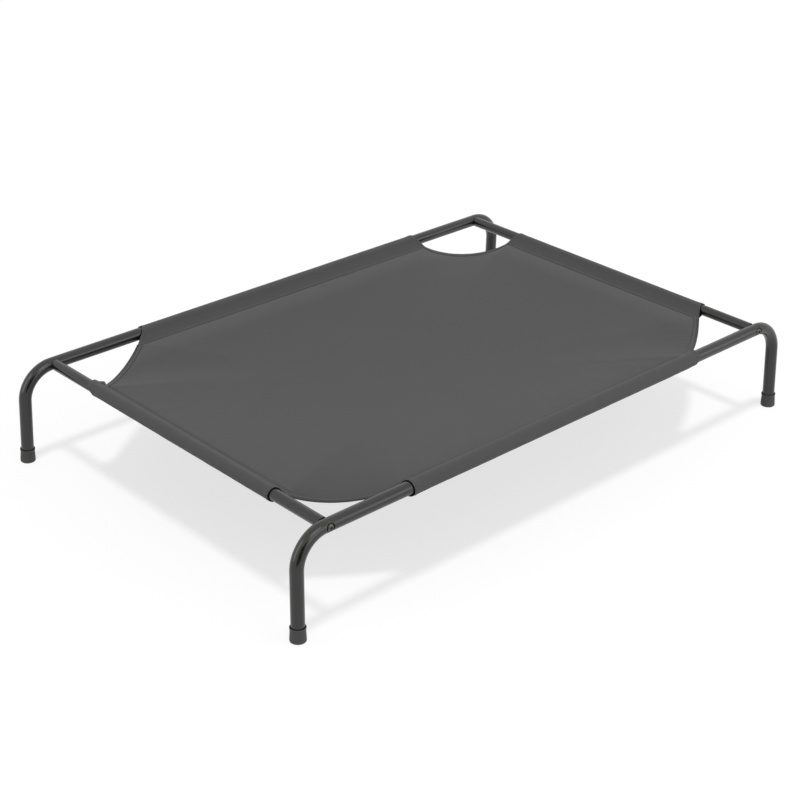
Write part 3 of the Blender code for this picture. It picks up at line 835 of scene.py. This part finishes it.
def make_sleeve(name, node, material, radius, slack, axis, ends):
    """A cloth strip folded round a tube, with both of its edges lapped over the sheet and sewn.

    Each of its ends says where it stops along the tube's top, how much further the laps reach, how far the
    underside is cut back, how far the end stands open, how closely its underside hugs the tube, how much
    wider and higher the laps are there, and how far the top stands up in an arch. Returns the piece, its
    girth, and the stitches round its two ends.
    """
    axis_at, along, inward = axis
    lap_steps = 8
    loop_steps = 44
    row_pitch = 0.0035
    columns = 2 * lap_steps + loop_steps
    rows = int((ends[1]["at"] - ends[0]["at"]) / row_pitch)
    loop_r, centre_z, first, last = sleeve_loop(radius, slack)
    turn = np.linspace(first, last, loop_steps)
    arched = lap_steps + np.count_nonzero(turn < math.pi / 2)
    limits = sleeve_limits(turn, lap_steps, columns, ends)
    turned = np.cos(math.pi * np.linspace(0, 1, rows))
    share = 0.5 - 0.5 * turned * (0.35 + 0.65 * np.abs(turned))
    place = limits[0] + (limits[1] - limits[0]) * share[:, None]
    inside = np.empty((rows, columns))
    height = np.empty((rows, columns))
    for i in range(columns):
        away = [np.abs(place[:, i] - limit[i]) for limit in limits]
        hem = sum(hem_rise(near, HEM_PUFF, HEM_DIP) for near in away)
        step = min(i, columns - 1 - i)
        if step < lap_steps:
            out = (lap_steps - 1 - step) / (lap_steps - 1)
            inside[:, i] = PINCH + LAP_START + (LAP - LAP_START + faded(ends, away, "flare", 0.012)) * out
            spot = axis_at[:2] + along[:2] * place[:, i : i + 1] + inward[:2] * inside[:, i : i + 1]
            face = 1 if i < lap_steps else -1
            lift = face * (SHEET_T / 2 + GAP + hem) + faded(ends, away, "lift", 0.011)
            height[:, i] = sheet_z(*spot.T) - TOP_Z + lift
        else:
            angle = turn[i - lap_steps]
            ease, wave = loop_ease(angle, place[:, i], away, ends, radius, slack)
            rim = loop_r + ease + hem + wave
            inside[:, i] = math.cos(angle) * rim
            height[:, i] = centre_z + math.sin(angle) * rim
        if i < arched:
            rise = np.maximum(np.interp(inside[:, i], ARCH_IN, ARCH_UP) - height[:, i], 0.0)
            height[:, i] += rise * faded(ends, away, "arch", 0.009)
    points = axis_at + along * place[..., None] + inward * inside[..., None]
    points[..., 2] += height
    run = lengths(points[rows // 2])
    sleeve = grid_object(name, points, unrolled(place, run))
    wall = add_wall(sleeve, SLEEVE_T, 1)
    thin_edges(sleeve, wall, rows, columns)
    dress(sleeve, material, "sleeve_cloth", node)
    return sleeve, run[-1], hem_stitches(points, place, limits, inward)


def sleeve_limits(turn, lap_steps, columns, ends):
    """Where each line of a sleeve's cloth stops, at both of its ends."""
    from_lap = np.minimum(turn - turn[0], turn[-1] - turn)
    reach = np.ones(columns)
    reach[lap_steps:-lap_steps] = 0.22 * (1 - smooth_step(from_lap / 0.8))
    under = np.exp(-(((np.linspace(0, 1, columns) - 0.64) / 0.15) ** 2))
    return [end["at"] + way * (end["lap"] * reach - end["under"] * under) for end, way in zip(ends, (-1, 1))]


def loop_ease(angle, place, away, ends, radius, slack):
    """How far a sleeve's loop stands off its round, at its ends and in soft waves."""
    rise = math.sin(angle)
    low = smooth_step(0.1 - rise * 0.9)
    ease = (0.35 + 0.65 * smooth_step(rise + 0.4)) * faded(ends, away, "open", 0.012)
    ease = ease - slack * 0.5 * low * faded(ends, away, "hug", 0.020)
    wave = 0.00035 * (wobble(place * 22, angle * 0.9, radius * 900) + 0.6)
    wave += 0.00020 * (wobble(place * 75, angle * 0.7, 4.0) + 0.5)
    return ease, wave * (0.3 + 0.7 * low)


def faded(ends, away, key, width):
    """What a sleeve's ends say under this key, fading out over this width from each."""
    return sum(end[key] * np.exp(-((near / width) ** 2)) for end, near in zip(ends, away))


def hem_rise(away, puff, dip):
    """How a hem stands up between its stitches' rows and is drawn in at them, by distance from its edge."""
    grooves = sum(np.exp(-(((away - row) / dip[1]) ** 2)) for row in HEM_ROWS)
    swelling = np.exp(-(((away - sum(HEM_ROWS) / 2) / puff[1]) ** 2))
    return puff[0] * swelling - dip[0] * grooves


def hem_stitches(points, place, limits, inward):
    """Two rows of stitches round each end of a sleeve."""
    rows = []
    section = np.cross(inward, (0.0, 0.0, 1.0))
    for limit, way in zip(limits, (-1, 1)):
        for row in HEM_ROWS:
            spots = enumerate(limit - way * row)
            line = np.array([between(spot, place[:, i], points[:, i]) for i, spot in spots])
            outward = unit(np.cross(np.gradient(line, axis=0), section))
            line = line + outward * (SLEEVE_T - STITCH_R * 0.25)
            run = lengths(line)
            begin = np.arange(0.001, run[-1] - STITCH_PITCH, STITCH_PITCH)
            stops = between(begin + STITCH_L, run, line)
            rows.append((between(begin, run, line), stops, between(begin, run, outward)))
    return rows


def between(at, run, table):
    """Rows of a table, at these lengths along its run."""
    return np.stack([np.interp(at, run, column) for column in table.T], axis=-1)


def capsules(name, rows, material, slot):
    """One small capsule of thread for each stitch, from rows of starts, stops and outward directions."""
    rows = [np.broadcast_arrays(*row) for row in rows]
    starts, stops, ups = (np.concatenate(part) for part in zip(*rows))
    columns = 6
    quarter = ((0.45, 1.0), (0.86, 0.62), (1.0, 0.0))  # shares of a stitch's half length and radius
    profile = [(-share, width) for share, width in reversed(quarter)] + list(quarter)
    middle = (starts + stops) / 2
    half = (stops - starts) / 2
    across = unit(np.cross(ups, half))
    lift = unit(np.cross(half, across))
    turn = np.linspace(0, 2 * math.pi, columns, endpoint=False)[None, :, None]
    circle = np.cos(turn) * across[:, None, :] + np.sin(turn) * lift[:, None, :]
    points = []
    for share, width in profile:
        spot = (middle + half * share)[:, None, :]
        points.append(spot + circle * width * STITCH_R if width else spot)
    points = np.concatenate(points, axis=1)
    count = points.shape[1]
    last = count - 1 - columns
    pattern = []
    for here in range(columns):
        after = (here + 1) % columns
        pattern.append((0, 1 + after, 1 + here))
        for ring in range(1, last, columns):
            pattern.append((ring + here, ring + after, ring + columns + after, ring + columns + here))
        pattern.append((last + here, last + after, count - 1))
    bases = range(0, len(points) * count, count)
    faces = [tuple(base + corner for corner in face) for base in bases for face in pattern]
    mesh = bpy.data.meshes.new(name)
    points = points.reshape(-1, 3)
    mesh.from_pydata(points.tolist(), [], faces)
    corners = np.concatenate([points[list(face), :2] for face in faces])
    return dress(smooth_object(name, mesh, corners), material, slot)


def sleeve_stitches(name, axis, ends, material, from_edge, others=()):
    """A row of stitches on the upper lap and one under the lower lap, with others where they are given."""
    axis_at, along, inward = axis
    rows = list(others)
    margins = [SEAM_MARGIN + ARCH_MARGIN * end["arch"] for end in ends]
    first = ends[0]["at"] - ends[0]["lap"] + margins[0]
    last = ends[1]["at"] + ends[1]["lap"] - margins[1]
    place = np.arange(first, last - STITCH_L, STITCH_PITCH)
    for face in (1, -1):
        lift = face * (SHEET_T / 2 + GAP + SLEEVE_T - STITCH_R * 0.25)
        spots = []
        for shift in (0.0, STITCH_L):
            spot = axis_at + along * (place + shift)[:, None] + inward * (PINCH + LAP - from_edge)
            spot[:, 2] = sheet_z(spot[:, 0], spot[:, 1]) + lift
            spots.append(spot)
        rows.append([*spots, [0.0, 0.0, float(face)]])
    return capsules(name, rows, material, "sleeve_cloth")


def make_binding(end, side, material, stitch_material):
    """Tape folded over the free edge of one corner, drawn in along its two rows of stitches."""
    name = corner_name(end, side)
    steps = 120
    bare = 0.012
    part = np.linspace(bare, 1 - bare, steps)
    edge, inward = corner_edge(end, side, part)
    middle_up = SHEET_T / 2 + GAP + TAPE_T / 2
    across = np.concatenate([np.linspace(TAPE_W, 0.0006, 16), [0.0]])
    turn = np.linspace(0, math.pi, 11)[1:-1]
    nose = list(zip(-middle_up * np.sin(turn), middle_up * np.cos(turn)))
    upper = list(zip(across, middle_up + hem_rise(across, TAPE_PUFF, TAPE_DIP)))
    section = upper + nose + [(inside, -up) for inside, up in reversed(upper)]
    points = np.empty((steps, len(section), 3))
    for column, (inside, up) in enumerate(section):
        spot = edge + inward * inside
        held = edge + inward * max(inside, 0.0)
        wave = 0.00012 * wobble(part * 60, inside * 300, 2.0) * (abs(up) > middle_up * 0.8)
        points[:, column, :2] = spot
        points[:, column, 2] = sheet_z(held[:, 0], held[:, 1]) + up + wave * np.sign(up)
    run = lengths(edge)
    girth = lengths(section)
    tape = grid_object(f"binding_{name}", points, unrolled(run[:, None], girth), flip=end * side < 0)
    add_wall(tape, TAPE_T, 0)
    dress(tape, material, "binding_tape", f"corner_binding_{name}")
    count = int(run[-1] / STITCH_PITCH) - 1
    rows = []
    for face in (1, -1):
        lift = face * (middle_up + TAPE_T / 2 - TAPE_DIP[0] - STITCH_R * 0.2)
        for row, inside in enumerate(HEM_ROWS):
            begin = (np.arange(count) * STITCH_PITCH + 0.002 + 0.001 * row) / run[-1]
            spots = []
            for shift in (0.0, STITCH_L / run[-1]):
                spot, way = corner_edge(end, side, part[0] + (begin + shift) * (part[-1] - part[0]))
                spot = spot + way * inside
                spots.append(np.stack([*spot.T, sheet_z(*spot.T) + lift], axis=-1))
            rows.append([*spots, [0.0, 0.0, float(face)]])
    stitches = capsules(f"binding_stitches_{name}", rows, stitch_material, "binding_tape")
    return tape, stitches, (run[-1], girth[-1])


def sleeve_end(at, lap, under=0.003, open_by=0.0005, **more):
    plain = {"hug": 0, "flare": 0, "lift": 0, "arch": 0}
    return {"at": at, "lap": lap, "under": under, "open": open_by} | plain | more


def make_cloth():
    sewing = thread("sewing_thread", 0.085)
    # the tape carries bands of painted shade and a painted highlight
    tape_cloth = woven("tape_cloth", 0.0740, 0.0350, pitch=0.0006, painted_tape_bands=True)
    # the sheet's seams carry painted shade and a painted highlight
    sheet, outline = make_sheet(woven("sheet_cloth", 0.0722, 0.0377, painted_seam_light=True))
    make_sleeves(sewing)
    for end, side in CORNERS:
        tape, stitches, (length, girth) = make_binding(end, side, tape_cloth, sewing)


def make_sleeves(sewing):
    """The four sleeves with their seams, whose inner rows are of paler thread at the near and left, a painted
    highlight where those seams meet the light.
    """
    cloth = woven("sleeve_cloth", 0.0719, 0.0374)
    tube = ("side", TUBE_R, SIDE_SLACK, SPAN_Y / 2)
    rail = ("end", RAIL_R, END_SLACK, RAIL_X)
    near = (sleeve_end(-0.395, 0.010, 0.002, 0.0012), sleeve_end(0.390, 0.012, 0.010, 0.0, hug=1.0))
    far = (sleeve_end(-0.384, 0.016), sleeve_end(0.371, 0.027))
    left = (
        sleeve_end(-0.274, 0.014, 0.015, 0.0006, flare=0.006, lift=0.0010, arch=1.0),
        sleeve_end(0.272, 0.010, 0.002, 0.0014),
    )
    right = (sleeve_end(-0.272, 0.013, 0.003, 0.0008), sleeve_end(0.2585, 0.0145))
    # each sleeve's last value is its inner seam thread's level, raised at the near and left as a painted
    # highlight
    sleeves = (
        ("near", tube, (0, 1), near, 0.165),
        ("far", tube, (0, -1), far, 0.085),
        ("left", rail, (1, 0), left, 0.118),
        ("right", rail, (-1, 0), right, 0.085),
    )
    for word, (kind, radius, slack, away), (x, y), ends, level in sleeves:
        axis = (np.array([-away * x, -away * y, TOP_Z]), np.array([y, -x, 0.0]), np.array([x, y, 0.0]))
        node = f"{kind}_sleeve_{word}"
        sleeve, girth, hems = make_sleeve(f"sleeve_{word}", node, cloth, radius, slack, axis, ends)
        edge_row = sleeve_stitches(f"sleeve_stitches_{word}", axis, ends, sewing, SEAM_ROWS[0], hems)
        seam_thread_toned_by_light = thread(f"seam_thread_toned_by_light_{word}", level)
        inner_row = sleeve_stitches(f"seam_stitches_{word}", axis, ends, seam_thread_toned_by_light, SEAM_ROWS[1])


def make_frame():
    paint = powder_coat()
    zinc = black_zinc()
    rubber = foot_rubber()
    steel = plug_steel()
    for end, side in CORNERS:
        make_side_tube(end, side, paint)
        make_bolt(end, side, zinc)
        make_cap(end, side, rubber)
        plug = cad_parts[f"nut_plug_{corner_name(end, side)}"]
        plug.data.materials.clear()
        plug.data.materials.append(steel)
    for end in (-1, 1):
        make_rail(end, paint)


# Floor, light and camera

def make_floor():
    """A white floor that keeps the bed's shadow as a pale grey, also where the tubes mirror it."""
    made = Shader("floor")
    plain = made.add("ShaderNodeBsdfDiffuse", Color=grey(0.80))
    faint = made.add("ShaderNodeBsdfDiffuse", Color=grey(FLOOR_KEPT))
    lit = made.add("ShaderNodeEmission", Color=grey(1.0), Strength=FLOOR_GLOW)
    pale = made.add("ShaderNodeAddShader", i0=faint.outputs[0], i1=lit.outputs[0])
    mixed = made.add("ShaderNodeMixShader", i0=made.seen(0.7), i1=plain.outputs[0], i2=pale.outputs[0])
    made.plug(made.tree.nodes["Material Output"].inputs["Surface"], mixed.outputs[0])
    wide = 30.0
    points = [(-wide, -wide, 0), (wide, -wide, 0), (wide, wide, 0), (-wide, wide, 0)]
    floor = plain_object("floor", points, [(0, 1, 2, 3)], made.material)


def plain_object(name, points, faces, material):
    mesh = bpy.data.meshes.new(name)
    mesh.from_pydata(points, [], faces)
    mesh.materials.append(material)
    return add_object(name, mesh)


def make_world():
    """Soft light from all round, seen as plain white by the camera and in reflections."""
    world = bpy.data.worlds.new("studio")
    world.use_nodes = True
    bpy.context.scene.world = world
    made = Nodes(world.node_tree)
    sky = made.tree.nodes["Background"].inputs
    made.plug(sky["Color"], grey(1.0))
    made.plug(sky["Strength"], made.spread(made.seen(), 0.0, 1.0, SKY, SKY_SEEN))


def make_light():
    """Soft sky, an overhead light that leans a little to the camera, and softboxes for the gloss."""
    make_world()
    overhead = lamp("overhead", "SUN", *SUN_FROM)
    overhead.data.energy = SUN * math.pi
    overhead.data.angle = math.radians(SUN_WIDTH)
    overhead.visible_glossy = False
    softbox("panel", -70, 20, (5.0, 2.0), 0.85)
    softbox("key", -100, 49, (1.9, 1.7), 1.6).visible_diffuse = False
    softbox("edge", 165, 26, (1.6, 3.2), 1.5).visible_diffuse = False
    make_dark_card()


def lamp(name, kind, turn, lift, away):
    """A lamp that faces the bed, turned from +X and lifted from the floor by these degrees."""
    made = add_object(name, bpy.data.lights.new(name, kind))
    turn, lift = math.radians(turn), math.radians(lift)
    toward = Vector((math.cos(turn) * math.cos(lift), math.sin(turn) * math.cos(lift), math.sin(lift)))
    made.location = toward * away
    made.rotation_euler = toward.to_track_quat("Z", "Y").to_euler()
    return made


def softbox(name, turn, lift, size, radiance):
    """A rectangular light that the camera doesn't see."""
    made = lamp(name, "AREA", turn, lift, BOX_AWAY)
    made.data.shape = "RECTANGLE"
    made.data.size, made.data.size_y = size
    made.data.energy = radiance * math.pi * size[0] * size[1]
    made.visible_camera = False
    return made


def make_dark_card():
    """The studio's dark behind the camera, standing and on the floor, which only the gloss shows."""
    dark = Shader("dark_card").set(Base_Color=grey(0.01), Roughness=0.9)
    wide, high, reach, narrow = 2.4, 4.7, 5.0, 0.6
    points = [(-wide, 0, 0), (wide, 0, 0), (wide, 0, high), (-wide, 0, high)]
    points += [(narrow, reach, 0), (-narrow, reach, 0)]
    card = plain_object("dark_card", points, [(0, 1, 2, 3), (0, 1, 4, 5)], dark)
    turn = math.radians(-129)
    away = 6.7
    card.location = (away * math.cos(turn), away * math.sin(turn), 0.005)
    card.rotation_euler = (0, 0, turn + math.pi / 2)
    card.visible_camera = False
    card.visible_diffuse = False
    card.visible_shadow = False
    card.visible_transmission = False


def make_camera():
    camera = add_object("camera", bpy.data.cameras.new("camera"))
    camera.data.lens = 79.218
    camera.data.sensor_width = 36.0
    camera.location = (-2.21353, -2.31072, 1.71326)
    camera.rotation_euler = [math.radians(angle) for angle in (62.8445, -0.7616, -42.9551)]
    camera.data.clip_end = 100.0
    bpy.context.scene.camera = camera


make_camera()
make_light()
make_floor()
make_frame()
make_cloth()
bpy.context.scene.view_settings.view_transform = "Standard"
